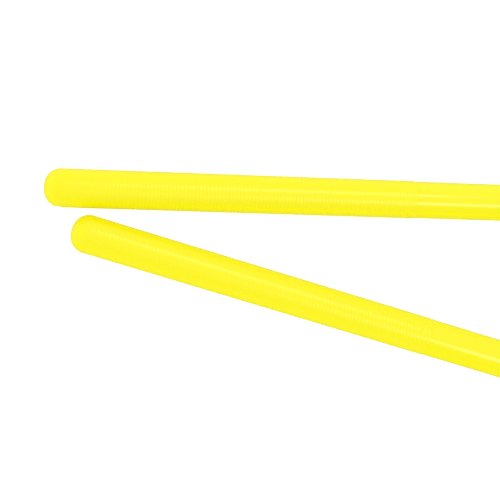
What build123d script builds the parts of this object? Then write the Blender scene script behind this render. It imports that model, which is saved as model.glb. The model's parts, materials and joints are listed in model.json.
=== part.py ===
from build123d import *
import os
from math import atan2, cos, degrees, pi, radians, sin, sqrt

# A pair of golf alignment sticks, lying loose on the ground in a narrow V.
# Each stick is a solid glass-fibre rod with a push-on ribbed end cap. The rod is turned down
# to a spigot where the cap sits, and ground to a point at the end that is pushed into turf.
# Millimetres, +Z up. The first stick lies along +X, and the ground is Z = 0.

# --- driving dimensions -------------------------------------------------------------------

stick_length = 1219.0  # tip of the dome to the end of the point, 48 inches
rod_diameter = 8.0
cap_diameter = 8.2  # stands 0.1 proud of the rod all round
cap_length = 80.0

# end cap
dome_crown_radius = 6.0  # the slightly flattened nose of the dome
dome_shoulder_radius = 3.6  # the rounder part, which runs into the side
plain_band = 0.8  # smooth side between the dome and the first rib
rib_pitch = 0.8
rib_height = 0.03
bore_depth = 72.0
bore_lead_in = 0.3  # chamfer that starts the cap on the spigot

# rod
spigot_diameter = 6.8
bore_end_gap = 1.0  # room for glue at the bottom of the bore
spigot_chamfer = 0.6
point_length = 25.0
point_nose_diameter = 2.0
point_nose_chamfer = 0.3

# how the two sticks lie
second_stick_turn = -15.3  # degrees about +Z from the first stick
second_tip_ahead = 6.0  # its dome starts this far along +X from the first one's
second_tip_aside = -8.6  # and this far to the side, centre line to centre line

# --- worked out from them -----------------------------------------------------------------

rod_radius = rod_diameter / 2
cap_radius = cap_diameter / 2
spigot_radius = spigot_diameter / 2
nose_radius = point_nose_diameter / 2
bore_bottom = cap_length - bore_depth
spigot_start = bore_bottom + bore_end_gap
point_start = stick_length - point_length

# The shoulder arc is tangent to the side of the cap and to the crown arc.
shoulder_centre_height = cap_radius - dome_shoulder_radius
centre_gap = dome_crown_radius - dome_shoulder_radius
shoulder_centre = dome_crown_radius - sqrt(centre_gap**2 - shoulder_centre_height**2)
crown_angle = degrees(atan2(shoulder_centre_height, dome_crown_radius - shoulder_centre))

# As many whole ribs as fit between the plain band and the mouth.
rib_count = int((cap_length - shoulder_centre - plain_band) / rib_pitch)
first_rib = cap_length - rib_count * rib_pitch
valley_radius = cap_radius - rib_height

# The origin is the middle of the pair's box, on the ground.
turn = radians(second_stick_turn)
far_side = second_tip_aside + stick_length * sin(turn) - nose_radius * cos(turn)
first_tip_x = -stick_length / 2
first_tip_y = -(cap_radius + far_side) / 2
second_tip_x = first_tip_x + second_tip_ahead
second_tip_y = first_tip_y + second_tip_aside


def stick_plane(tip_x, tip_y, turn_degrees):
    """A plane that stands on a stick's centre line: local X runs along it, local Y is up."""
    a = radians(turn_degrees)
    return Plane(
        origin=(tip_x, tip_y, cap_radius),
        x_dir=(cos(a), sin(a), 0),
        z_dir=(sin(a), -cos(a), 0),
    )


stick_planes = {
    "stick_a": stick_plane(first_tip_x, first_tip_y, 0),
    "stick_b": stick_plane(second_tip_x, second_tip_y, second_stick_turn),
}

os.makedirs("parts", exist_ok=True)

for stick, plane in stick_planes.items():
    centre_line = Axis(plane.origin, plane.x_dir)

    # The rod: spigot, full-diameter shaft and ground point in one revolved solid. Its
    # shoulder is left square, so that the cap's mouth closes on it without a groove.
    with BuildPart() as rod:
        with BuildSketch(plane):
            with BuildLine():
                Polyline(
                    (spigot_start, 0),
                    (spigot_start, spigot_radius - spigot_chamfer),
                    (spigot_start + spigot_chamfer, spigot_radius),
                    (cap_length, spigot_radius),
                    (cap_length, rod_radius),
                    (point_start, rod_radius),
                    (stick_length - point_nose_chamfer, nose_radius),
                    (stick_length, nose_radius - point_nose_chamfer),
                    (stick_length, 0),
                    close=True,
                )
            make_face()
        revolve(axis=centre_line)
    rod.part.label = f"{stick}_rod"
    export_step(rod.part, f"parts/{stick}_rod.step")

    # The cap: a blind sleeve with a domed end and fine moulded ribs from dome to mouth.
    with BuildPart() as ribbed_cap:
        with BuildSketch(plane):
            with BuildLine():
                CenterArc((dome_crown_radius, 0), dome_crown_radius, 180, -crown_angle)
                CenterArc(
                    (shoulder_centre, shoulder_centre_height),
                    dome_shoulder_radius,
                    180 - crown_angle,
                    crown_angle - 90,
                )
                Polyline(
                    (shoulder_centre, cap_radius),
                    (first_rib - rib_height, cap_radius),
                    (first_rib, valley_radius),
                )
                for rib in range(rib_count):
                    rib_start = first_rib + rib * rib_pitch
                    ThreePointArc(
                        (rib_start, valley_radius),
                        (rib_start + rib_pitch / 2, cap_radius),
                        (rib_start + rib_pitch, valley_radius),
                    )
                Polyline(
                    (first_rib + rib_count * rib_pitch, valley_radius),
                    (cap_length, spigot_radius + bore_lead_in),
                    (cap_length - bore_lead_in, spigot_radius),
                    (bore_bottom, spigot_radius),
                    (bore_bottom, 0),
                    (0, 0),
                )
            make_face()
        revolve(axis=centre_line)
    ribbed_cap.part.label = f"{stick}_ribbed_cap"
    export_step(ribbed_cap.part, f"parts/{stick}_ribbed_cap.step")

    tip = plane.origin
    print(f"{stick}: tip at {tip.X:.3f} {tip.Y:.3f} {tip.Z:.3f}, along {plane.x_dir}")

shaft_length = point_start - cap_length
print(f"{rib_count} ribs on each cap, the first one {first_rib:.2f} mm from the tip")
print(f"full-diameter shaft {shaft_length:.1f} mm long, {pi * rod_radius**2:.1f} mm2 in section")
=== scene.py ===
# %% [markdown]
# # A pair of golf alignment sticks
# Two slim round sticks lie loose on a pale table, in a narrow V. Each one is a solid
# glass-fibre rod, sprayed fluorescent yellow, with a ribbed vinyl cap glued on its blunt end
# and a ground point on the other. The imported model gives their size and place, and this
# lesson builds the surfaces that the eye sees around it.

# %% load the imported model
import json
from math import asin, atan2, cos, degrees, hypot, pi, radians, sin, sqrt

import bmesh
import bpy
from mathutils import Matrix, Vector


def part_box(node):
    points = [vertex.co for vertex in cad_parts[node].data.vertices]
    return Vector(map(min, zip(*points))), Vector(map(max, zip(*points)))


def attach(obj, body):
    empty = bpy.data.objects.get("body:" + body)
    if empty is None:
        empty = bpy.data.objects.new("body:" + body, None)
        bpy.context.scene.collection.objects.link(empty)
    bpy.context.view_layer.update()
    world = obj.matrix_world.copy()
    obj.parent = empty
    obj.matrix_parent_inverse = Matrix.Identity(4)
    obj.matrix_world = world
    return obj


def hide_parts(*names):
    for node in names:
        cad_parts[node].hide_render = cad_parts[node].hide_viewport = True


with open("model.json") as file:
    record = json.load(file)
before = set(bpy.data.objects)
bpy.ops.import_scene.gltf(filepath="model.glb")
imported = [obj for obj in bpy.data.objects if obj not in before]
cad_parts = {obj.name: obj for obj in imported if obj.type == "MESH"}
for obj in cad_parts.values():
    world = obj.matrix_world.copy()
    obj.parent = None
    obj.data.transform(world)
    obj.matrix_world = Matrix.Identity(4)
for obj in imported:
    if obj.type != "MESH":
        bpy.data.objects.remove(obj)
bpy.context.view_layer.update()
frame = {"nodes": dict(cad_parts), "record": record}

print("nodes:", sorted(frame["nodes"]))

# %% [markdown]
# ## Where the sticks lie
# The first stick lies along X, so the boxes of its two nodes give its length, its thickness
# and the length of its cap. The second one is turned, and a turned box says little, so its
# line comes from its mounts: the shaft mount holds the direction, and the point mount holds
# the far end. Working back from there by one stick's length gives the tip of its dome.

# %% measure the sticks from the frame
MM = 0.001

cap_low, cap_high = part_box("stick_a_ribbed_cap")
rod_low, rod_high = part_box("stick_a_rod")
stick_length = rod_high.x - cap_low.x
cap_length = cap_high.x - cap_low.x
cap_radius = (cap_high.z - cap_low.z) / 2
rod_radius = (rod_high.z - rod_low.z) / 2

mounts = {m["name"]: m for m in frame["record"]["mounts"]}


def stick_place(stick):
    """The turn and move that carry a stick from the origin, pointing along X, to its place."""
    along = Vector(mounts[f"{stick}_shaft"]["axis"])
    tip = Vector(mounts[f"{stick}_point"]["pos_m"]) - along * stick_length
    return Matrix.Translation(tip) @ Matrix.Rotation(atan2(along.y, along.x), 4, "Z")


places = {stick: stick_place(stick) for stick in ("stick_a", "stick_b")}
first_tip = places["stick_a"].translation
for stick, place in places.items():
    print(stick, "tip, mm:", [round(v / MM, 2) for v in place.translation])

# %% [markdown]
# ## Drawing an outline with operators
# Every part of a stick is round, so each one is an outline turned about the stick's centre
# line, as on a lathe. The outline could be a long list of points, but then nothing in it says
# what is an arc and what is a line. Here one vertex is the pen. Extruding it draws a straight
# run, and spinning it about a centre draws an arc of an exact radius. The outline lies in the
# XZ plane: X runs along the stick and Z is the distance out from its centre line.

# %% the pen
OUTLINE_NORMAL = (0, 1, 0)


def start_outline(along, out):
    """A new bmesh with the pen's first vertex."""
    bm = bmesh.new()
    pen = bmesh.ops.create_vert(bm, co=(along, 0, out))["vert"][0]
    return bm, pen


def line(bm, pen, along, out):
    """A straight run from the pen to a point. Returns the new pen."""
    new = bmesh.ops.extrude_vert_indiv(bm, verts=[pen])["verts"][0]
    bmesh.ops.translate(bm, verts=[new], vec=Vector((along, 0, out)) - pen.co)
    return new


def arc(bm, pen, along, out, turn, steps):
    """Swings the pen about a centre, from the tip's side over the top. Returns the new pen."""
    swung = bmesh.ops.spin(
        bm, geom=[pen], cent=(along, 0, out), axis=OUTLINE_NORMAL, angle=turn, steps=steps
    )
    return next(v for v in swung["geom_last"] if isinstance(v, bmesh.types.BMVert))


# %% [markdown]
# ## Turning the outline
# A full spin with `use_merge` joins its last copy to its first. The vertices on the centre
# line are copied once per step, all in one place, so merging doubles closes the two poles.
# Only then are the normals recalculated, because loose poles would leave the shell open and
# its outside unclear. Turning and finishing are two steps, so that a piece can be marked in
# between. Before the mesh is moved to its place, each vertex notes where it sits on its own
# stick. Patterns read that note, so they follow the stick however it lies.

# %% the lathe
STICK_AXIS = (1, 0, 0)
ON_STICK = "on_stick"
MERGE_DISTANCE = 0.001 * MM
SHARP_ANGLE = radians(24)


def turn_outline(bm, facets):
    """Spins the outline into a closed skin, with its outside outwards."""
    bmesh.ops.spin(
        bm,
        geom=bm.verts[:] + bm.edges[:],
        cent=(0, 0, 0),
        axis=STICK_AXIS,
        angle=2 * pi,
        steps=facets,
        use_merge=True,
    )
    bmesh.ops.remove_doubles(bm, verts=bm.verts, dist=MERGE_DISTANCE)
    bmesh.ops.recalc_face_normals(bm, faces=bm.faces)


def finish_mesh(bm, name, stick, material, pattern_shift=0.0):
    """Writes the bmesh to an object: the pattern note first, then the move to its place."""
    mesh = bpy.data.meshes.new(name)
    bm.to_mesh(mesh)
    bm.free()
    note = mesh.attributes.new(ON_STICK, "FLOAT_VECTOR", "POINT")
    for vertex, here in zip(mesh.vertices, note.data):
        here.vector = vertex.co + Vector((pattern_shift, 0, 0))
    mesh.transform(places[stick])
    for face in mesh.polygons:
        face.use_smooth = True
    mesh.set_sharp_from_angle(angle=SHARP_ANGLE)
    mesh.materials.append(material)
    piece = bpy.data.objects.new(name, mesh)
    bpy.context.scene.collection.objects.link(piece)
    print(name, len(mesh.polygons), "faces")
    return piece


# %% [markdown]
# ## Colour and nodes
# A paint maker gives a colour as a hex code on the sRGB scale, and a shader works in linear
# light, so one function turns one into the other. A second small function adds a node, sets
# it up and feeds it, which keeps each material to one line per step.

# %% two helpers for materials
def linear(code, alpha=1.0):
    """An sRGB hex code as linear red, green, blue and alpha."""
    srgb = [int(code[i : i + 2], 16) / 255 for i in (1, 3, 5)]
    return [c / 12.92 if c <= 0.04045 else ((c + 0.055) / 1.055) ** 2.4 for c in srgb] + [alpha]


def add_node(tree, kind, sockets=None, **settings):
    """Adds a node with its settings, and gives each named socket a value or a link."""
    made = tree.nodes.new(kind)
    for name, value in settings.items():
        setattr(made, name, value)
    for name, value in (sockets or {}).items():
        if isinstance(value, bpy.types.NodeSocket):
            tree.links.new(value, made.inputs[name])
        else:
            made.inputs[name].default_value = value
    return made


def new_material(name):
    """An empty node material with its output."""
    material = bpy.data.materials.new(name)
    material.use_nodes = True
    material.node_tree.nodes.clear()
    output = material.node_tree.nodes.new("ShaderNodeOutputMaterial")
    return material, material.node_tree, output


# %% [markdown]
# ## The rod's finish: fluorescent paint on pultruded glass fibre
# A pultruded rod is thousands of glass threads drawn through a hot die in resin. Its surface
# is straight and smooth, with faint ridges that run lengthwise where the threads lie close
# under it. Sprayed paint hides their colour but follows them, and dries with a fine orange
# peel of its own. To the eye this is a flat, very bright yellow that holds a long, sharp
# streak of each lamp, a little broken along its length. Fluorescent paint is loaded with
# pigment, so it reflects less of the lamps than a clear lacquer does.

# %% painted glass fibre
FIBRE_RIDGE = 0.45 * MM  # across the stick
FIBRE_RUN = 60 * MM  # along it
ORANGE_PEEL = 1.6 * MM
PAINT_CLOUD = 25 * MM


def painted_glass_fibre():
    material, tree, output = new_material("painted_glass_fibre")
    here = add_node(tree, "ShaderNodeAttribute", attribute_name=ON_STICK).outputs["Vector"]
    threads = add_node(
        tree,
        "ShaderNodeMapping",
        {"Vector": here, "Scale": (1 / FIBRE_RUN, 1 / FIBRE_RIDGE, 1 / FIBRE_RIDGE)},
    ).outputs["Vector"]
    ridges = add_node(
        tree, "ShaderNodeTexNoise", {"Vector": threads, "Scale": 1.0, "Detail": 2.0}
    ).outputs["Fac"]
    peel = add_node(
        tree, "ShaderNodeTexNoise", {"Vector": here, "Scale": 1 / ORANGE_PEEL, "Detail": 1.0}
    ).outputs["Fac"]
    cloud = add_node(
        tree, "ShaderNodeTexNoise", {"Vector": here, "Scale": 1 / PAINT_CLOUD, "Detail": 3.0}
    ).outputs["Fac"]
    colour = add_node(
        tree,
        "ShaderNodeMix",
        {"Factor": cloud, "A": linear("#F5ED10"), "B": linear("#F6EE1A")},
        data_type="RGBA",
    ).outputs["Result"]
    roughness = add_node(
        tree,
        "ShaderNodeMapRange",
        {"Value": ridges, "From Min": 0.3, "From Max": 0.7, "To Min": 0.14, "To Max": 0.2},
    ).outputs["Result"]
    ridged = add_node(
        tree, "ShaderNodeBump", {"Height": ridges, "Strength": 0.25, "Distance": 0.01 * MM}
    ).outputs["Normal"]
    peeled = add_node(
        tree,
        "ShaderNodeBump",
        {"Height": peel, "Strength": 0.25, "Distance": 0.02 * MM, "Normal": ridged},
    ).outputs["Normal"]
    paint = add_node(
        tree,
        "ShaderNodeBsdfPrincipled",
        {
            "Base Color": colour,
            "Roughness": roughness,
            "IOR": 1.5,
            "Specular IOR Level": 0.34,
            "Normal": peeled,
        },
    )
    tree.links.new(paint.outputs["BSDF"], output.inputs["Surface"])
    return material


rod_paint = painted_glass_fibre()
print("fibre ridges", FIBRE_RIDGE / MM, "mm, orange peel", ORANGE_PEEL / MM, "mm")

# %% [markdown]
# ## The cap's finish: moulded vinyl
# The cap is soft PVC, dipped or moulded in the same fluorescent yellow. The mould leaves a
# fine grain, so its shine is satin: a lamp shows as a broad pale line, not a streak. The ribs
# themselves are real geometry, built below, and break that line into beads. Soft vinyl also
# shrinks a little unevenly as it cools, and that slight waviness makes no two beads alike.

# %% moulded vinyl
MOULD_GRAIN = 0.25 * MM
MOULD_WAVE = 1.7 * MM  # about two ribs
VINYL_CLOUD = 12 * MM


def moulded_vinyl():
    material, tree, output = new_material("moulded_vinyl")
    here = add_node(tree, "ShaderNodeAttribute", attribute_name=ON_STICK).outputs["Vector"]
    grain = add_node(
        tree, "ShaderNodeTexNoise", {"Vector": here, "Scale": 1 / MOULD_GRAIN, "Detail": 2.0}
    ).outputs["Fac"]
    wave = add_node(
        tree, "ShaderNodeTexNoise", {"Vector": here, "Scale": 1 / MOULD_WAVE, "Detail": 1.0}
    ).outputs["Fac"]
    cloud = add_node(
        tree, "ShaderNodeTexNoise", {"Vector": here, "Scale": 1 / VINYL_CLOUD, "Detail": 3.0}
    ).outputs["Fac"]
    colour = add_node(
        tree,
        "ShaderNodeMix",
        {"Factor": cloud, "A": linear("#F5ED00"), "B": linear("#F6EE08")},
        data_type="RGBA",
    ).outputs["Result"]
    roughness = add_node(
        tree,
        "ShaderNodeMapRange",
        {"Value": grain, "From Min": 0.3, "From Max": 0.7, "To Min": 0.24, "To Max": 0.34},
    ).outputs["Result"]
    waved = add_node(
        tree, "ShaderNodeBump", {"Height": wave, "Strength": 0.5, "Distance": 0.06 * MM}
    ).outputs["Normal"]
    grained = add_node(
        tree,
        "ShaderNodeBump",
        {"Height": grain, "Strength": 0.3, "Distance": 0.02 * MM, "Normal": waved},
    ).outputs["Normal"]
    vinyl = add_node(
        tree,
        "ShaderNodeBsdfPrincipled",
        {
            "Base Color": colour,
            "Roughness": roughness,
            "IOR": 1.5,
            "Specular IOR Level": 0.35,
            "Normal": grained,
        },
    )
    tree.links.new(vinyl.outputs["BSDF"], output.inputs["Surface"])
    return material


cap_vinyl = moulded_vinyl()
print("mould grain", MOULD_GRAIN / MM, "mm, waviness", MOULD_WAVE / MM, "mm")

# %% [markdown]
# ## The rod
# One turned outline holds the whole rod: the thin spigot that the cap slides over, the
# square shoulder where the full diameter starts, the long shaft, and the ground point with
# its blunted nose. The shaft ends in a short extra ring just before the point, so that
# smooth shading bends the light only there and not along the whole metre of shaft.

# %% build both rods
SPIGOT_RADIUS = 3.4 * MM
SPIGOT_CHAMFER = 0.6 * MM
BORE_BOTTOM = 8.0 * MM
GLUE_GAP = 1.0 * MM
POINT_LENGTH = 25 * MM
NOSE_RADIUS = 1.0 * MM
NOSE_CHAMFER = 0.3 * MM
SHADING_RING = 1.0 * MM
ROD_FACETS = 96


def build_rod(stick, pattern_shift):
    spigot_start = BORE_BOTTOM + GLUE_GAP
    point_start = stick_length - POINT_LENGTH
    bm, pen = start_outline(spigot_start, 0)
    pen = line(bm, pen, spigot_start, SPIGOT_RADIUS - SPIGOT_CHAMFER)
    pen = line(bm, pen, spigot_start + SPIGOT_CHAMFER, SPIGOT_RADIUS)
    pen = line(bm, pen, cap_length, SPIGOT_RADIUS)
    pen = line(bm, pen, cap_length, rod_radius)
    pen = line(bm, pen, point_start - SHADING_RING, rod_radius)
    pen = line(bm, pen, point_start, rod_radius)
    pen = line(bm, pen, stick_length - NOSE_CHAMFER, NOSE_RADIUS)
    pen = line(bm, pen, stick_length, NOSE_RADIUS - NOSE_CHAMFER)
    line(bm, pen, stick_length, 0)
    turn_outline(bm, ROD_FACETS)
    rod = finish_mesh(bm, f"{stick}_painted_rod", stick, rod_paint, pattern_shift)
    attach(rod, stick)
    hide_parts(f"{stick}_rod")
    return rod


SECOND_STICK_SHIFT = 2.0  # metres: far enough that the two sticks share no pattern
for stick, shift in (("stick_a", 0.0), ("stick_b", SECOND_STICK_SHIFT)):
    build_rod(stick, shift)

# %% [markdown]
# ## The ribbed cap
# The dome isn't quite half a ball: a wide crown arc flattens its nose, and a tighter shoulder
# arc, tangent to it, runs into the side. Then come the ribs, each a low arc from valley to
# valley. A bump texture would show them from above, but not on the outline or in a mesh
# file, so every rib is drawn with the same pen. The outline turns in at the mouth and goes
# back down the bore, which makes the cap a real sleeve with a wall.
#
# Used sticks are pushed into turf and dropped in a bag, so each cap carries one small mark:
# a nick cut into the near side of the first dome, and a dent just before the second cap's
# mouth. The nick is long and narrow, because a round hollow would not break the outline.
# A mark is made by moving the skin's own vertices, most at its middle and less towards its
# rim, so it shows on the outline and catches the light as a real one does.

# %% build both caps
CROWN_RADIUS = 6.0 * MM
SHOULDER_RADIUS = 3.6 * MM
PLAIN_BAND = 0.8 * MM
RIB_PITCH = 0.8 * MM
RIB_HEIGHT = 0.03 * MM
BORE_LEAD_IN = 0.3 * MM
CROWN_STEPS = 4
SHOULDER_STEPS = 20
RIB_STEPS = 6
CAP_FACETS = 112
# mm and degrees, as dent_skin takes them
NICK = {"along": 3.2, "around": 94, "half_width": 0.5, "half_length": 1.8, "depth": 0.32}
DENT = {"along": 78.0, "around": -9, "half_width": 0.5, "half_length": 0.6, "depth": 0.15}
CAP_MARKS = {"stick_a": NICK, "stick_b": DENT}

shoulder_out = cap_radius - SHOULDER_RADIUS
shoulder_along = CROWN_RADIUS - sqrt((CROWN_RADIUS - SHOULDER_RADIUS) ** 2 - shoulder_out**2)
crown_turn = atan2(shoulder_out, CROWN_RADIUS - shoulder_along)
rib_count = int((cap_length - shoulder_along - PLAIN_BAND) / RIB_PITCH)
first_rib = cap_length - rib_count * RIB_PITCH
rib_arc_radius = hypot(RIB_PITCH / 2, RIB_HEIGHT) ** 2 / (2 * RIB_HEIGHT)
rib_half_turn = asin(RIB_PITCH / 2 / rib_arc_radius)


def dent_skin(bm, along, around, half_width, half_length, depth):
    """Sinks an oval hollow, in mm. Around is in degrees from the top, to the near side."""
    out = Vector((0, -sin(radians(around)), cos(radians(around))))
    spot = Vector((along * MM, 0, 0)) + out * cap_radius
    for vertex in bm.verts:
        offset = (vertex.co - spot) / MM
        away = hypot(offset.x / half_width, offset.y / half_length, offset.z / half_length)
        if away < 1:
            vertex.co -= out * depth * MM * (1 - away**2) ** 2


def build_cap(stick, pattern_shift):
    bm, pen = start_outline(0, 0)
    pen = arc(bm, pen, CROWN_RADIUS, 0, crown_turn, CROWN_STEPS)
    pen = arc(bm, pen, shoulder_along, shoulder_out, pi / 2 - crown_turn, SHOULDER_STEPS)
    pen = line(bm, pen, first_rib - RIB_HEIGHT, cap_radius)
    pen = line(bm, pen, first_rib, cap_radius - RIB_HEIGHT)
    for rib in range(rib_count):
        middle = first_rib + (rib + 0.5) * RIB_PITCH
        centre_out = cap_radius - rib_arc_radius
        pen = arc(bm, pen, middle, centre_out, 2 * rib_half_turn, RIB_STEPS)
    pen = line(bm, pen, cap_length, SPIGOT_RADIUS + BORE_LEAD_IN)
    pen = line(bm, pen, cap_length - BORE_LEAD_IN, SPIGOT_RADIUS)
    pen = line(bm, pen, BORE_BOTTOM, SPIGOT_RADIUS)
    line(bm, pen, BORE_BOTTOM, 0)
    turn_outline(bm, CAP_FACETS)
    dent_skin(bm, **CAP_MARKS[stick])
    cap = finish_mesh(bm, f"{stick}_moulded_cap", stick, cap_vinyl, pattern_shift)
    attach(cap, stick)
    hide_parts(f"{stick}_ribbed_cap")
    return cap


for stick, shift in (("stick_a", 0.0), ("stick_b", SECOND_STICK_SHIFT)):
    build_cap(stick, shift)
print(rib_count, "ribs, each an arc of radius", round(rib_arc_radius / MM, 2), "mm")
print("the dome is", round(shoulder_along / MM, 2), "mm deep")

# %% [markdown]
# ## Table and light
# Small bright goods are shot on a light table in a white room, so that the yellow stays flat
# and clean and no shadow falls. The table glows, but shiny surfaces don't mirror it: a glare
# along the lower sides would wash out their colour. The room lights the sticks evenly, a
# little more from its far wall. In the gloss its near side looks dim, where the camera and
# its user are, and so does everything below the table, so the sides keep a deep yellow.
#
# Two small lamps show in the gloss only. The cap lamp hangs beyond the caps. A rib's low arc
# mirrors it over a wide range of directions, so every rib holds one bead of it, while the
# smooth rod mirrors it only just past the mouth. The rod lamp hangs on the near side, further
# along, and the round rods squeeze it to a thin streak.

# %% floor, world and lamps
FLOOR_SIZE = 30.0
TABLE_GLOW = 0.85


def build_floor():
    bm = bmesh.new()
    bmesh.ops.create_grid(bm, x_segments=1, y_segments=1, size=FLOOR_SIZE / 2)
    mesh = bpy.data.meshes.new("pale_floor")
    bm.to_mesh(mesh)
    bm.free()
    material, tree, output = new_material("matt_white_table")
    table_top = add_node(
        tree,
        "ShaderNodeBsdfPrincipled",
        {
            "Base Color": linear("#B2B2B2"),
            "Roughness": 0.9,
            "Specular IOR Level": 0.1,
            "Emission Color": (1, 1, 1, 1),
            "Emission Strength": TABLE_GLOW,
        },
    )
    tree.links.new(table_top.outputs["BSDF"], output.inputs["Surface"])
    mesh.materials.append(material)
    floor = bpy.data.objects.new("pale_floor", mesh)
    floor.visible_glossy = False
    bpy.context.scene.collection.objects.link(floor)
    return floor


def build_world(ceiling, cellar, far_wall, near_wall):
    """A white room. The far wall adds to its light, and the near wall dims it in the gloss."""
    world = bpy.data.worlds.new("white_room")
    world.use_nodes = True
    tree = world.node_tree
    tree.nodes.clear()
    direction = add_node(tree, "ShaderNodeTexCoord").outputs["Generated"]
    sides = add_node(tree, "ShaderNodeSeparateXYZ", {"Vector": direction}).outputs
    room = add_node(
        tree,
        "ShaderNodeMapRange",
        {"Value": sides["Z"], "From Min": -0.5, "From Max": 0, "To Min": cellar, "To Max": ceiling},
    ).outputs["Result"]
    near_side = add_node(
        tree,
        "ShaderNodeMapRange",
        {"Value": sides["Y"], "From Min": -0.9, "From Max": 0, "To Min": near_wall, "To Max": 1},
    ).outputs["Result"]
    far_side = add_node(
        tree,
        "ShaderNodeMapRange",
        {"Value": sides["Y"], "From Min": 0, "From Max": 1, "To Min": 1, "To Max": far_wall},
    ).outputs["Result"]
    mirrored = add_node(tree, "ShaderNodeLightPath").outputs["Is Glossy Ray"]
    seen = add_node(tree, "ShaderNodeMix", {"Factor": mirrored, "A": far_side, "B": near_side})
    strength = add_node(
        tree, "ShaderNodeMath", {0: room, 1: seen.outputs["Result"]}, operation="MULTIPLY"
    ).outputs["Value"]
    light = add_node(
        tree, "ShaderNodeBackground", {"Color": (1, 1, 1, 1), "Strength": strength}
    ).outputs["Background"]
    add_node(tree, "ShaderNodeOutputWorld", {"Surface": light})
    bpy.context.scene.world = world


def hang_lamp(name, place, aim, length, width, brightness):
    """A lamp for the gloss alone, turned to face a point. Its length runs along X."""
    lamp = bpy.data.lights.new(name, "AREA")
    lamp.shape = "RECTANGLE"
    lamp.size = length
    lamp.size_y = width
    lamp.energy = brightness * pi * length * width
    holder = bpy.data.objects.new(name, lamp)
    holder.location = place
    down = (Vector(aim) - Vector(place)).normalized()
    across = down.cross((1, 0, 0)).normalized()
    side = across.cross(down)
    holder.rotation_euler = Matrix((side, across, -down)).transposed().to_euler()
    holder.visible_camera = False
    holder.visible_diffuse = False
    bpy.context.scene.collection.objects.link(holder)
    print(name, "turned", [round(degrees(a), 1) for a in holder.rotation_euler])


build_floor()
build_world(ceiling=1.085, cellar=0.3, far_wall=1.03, near_wall=0.05)
hang_lamp(
    "cap_lamp",
    place=first_tip + Vector((0.215, 0.26, 0.6)),
    aim=first_tip + Vector((0.04, -0.01, 0)),
    length=0.13,
    width=0.14,
    brightness=15,
)
hang_lamp(
    "rod_lamp",
    place=first_tip + Vector((0.315, -0.315, 0.6)),
    aim=first_tip + Vector((0.12, -0.02, 0)),
    length=0.18,
    width=0.3,
    brightness=6.5,
)

# %% [markdown]
# ## Camera
# The camera hangs 29 cm above the caps with a long lens, almost straight down. It is tilted a
# little, so that the far ends of the sticks fall away to the right. It sees only the caps and
# the first of each shaft.

# %% hang the camera
CAMERA_FROM_TIP = Vector((-9.0, -23.2, 291.6)) * MM
CAMERA_TURN = (radians(1.97), radians(-10.33), radians(1.16))

lens = bpy.data.cameras.new("camera")
lens.lens = 100
lens.sensor_width = 36
camera = bpy.data.objects.new("camera", lens)
camera.location = first_tip + CAMERA_FROM_TIP
camera.rotation_euler = CAMERA_TURN
bpy.context.scene.collection.objects.link(camera)
bpy.context.scene.camera = camera
bpy.context.scene.view_settings.view_transform = "Standard"
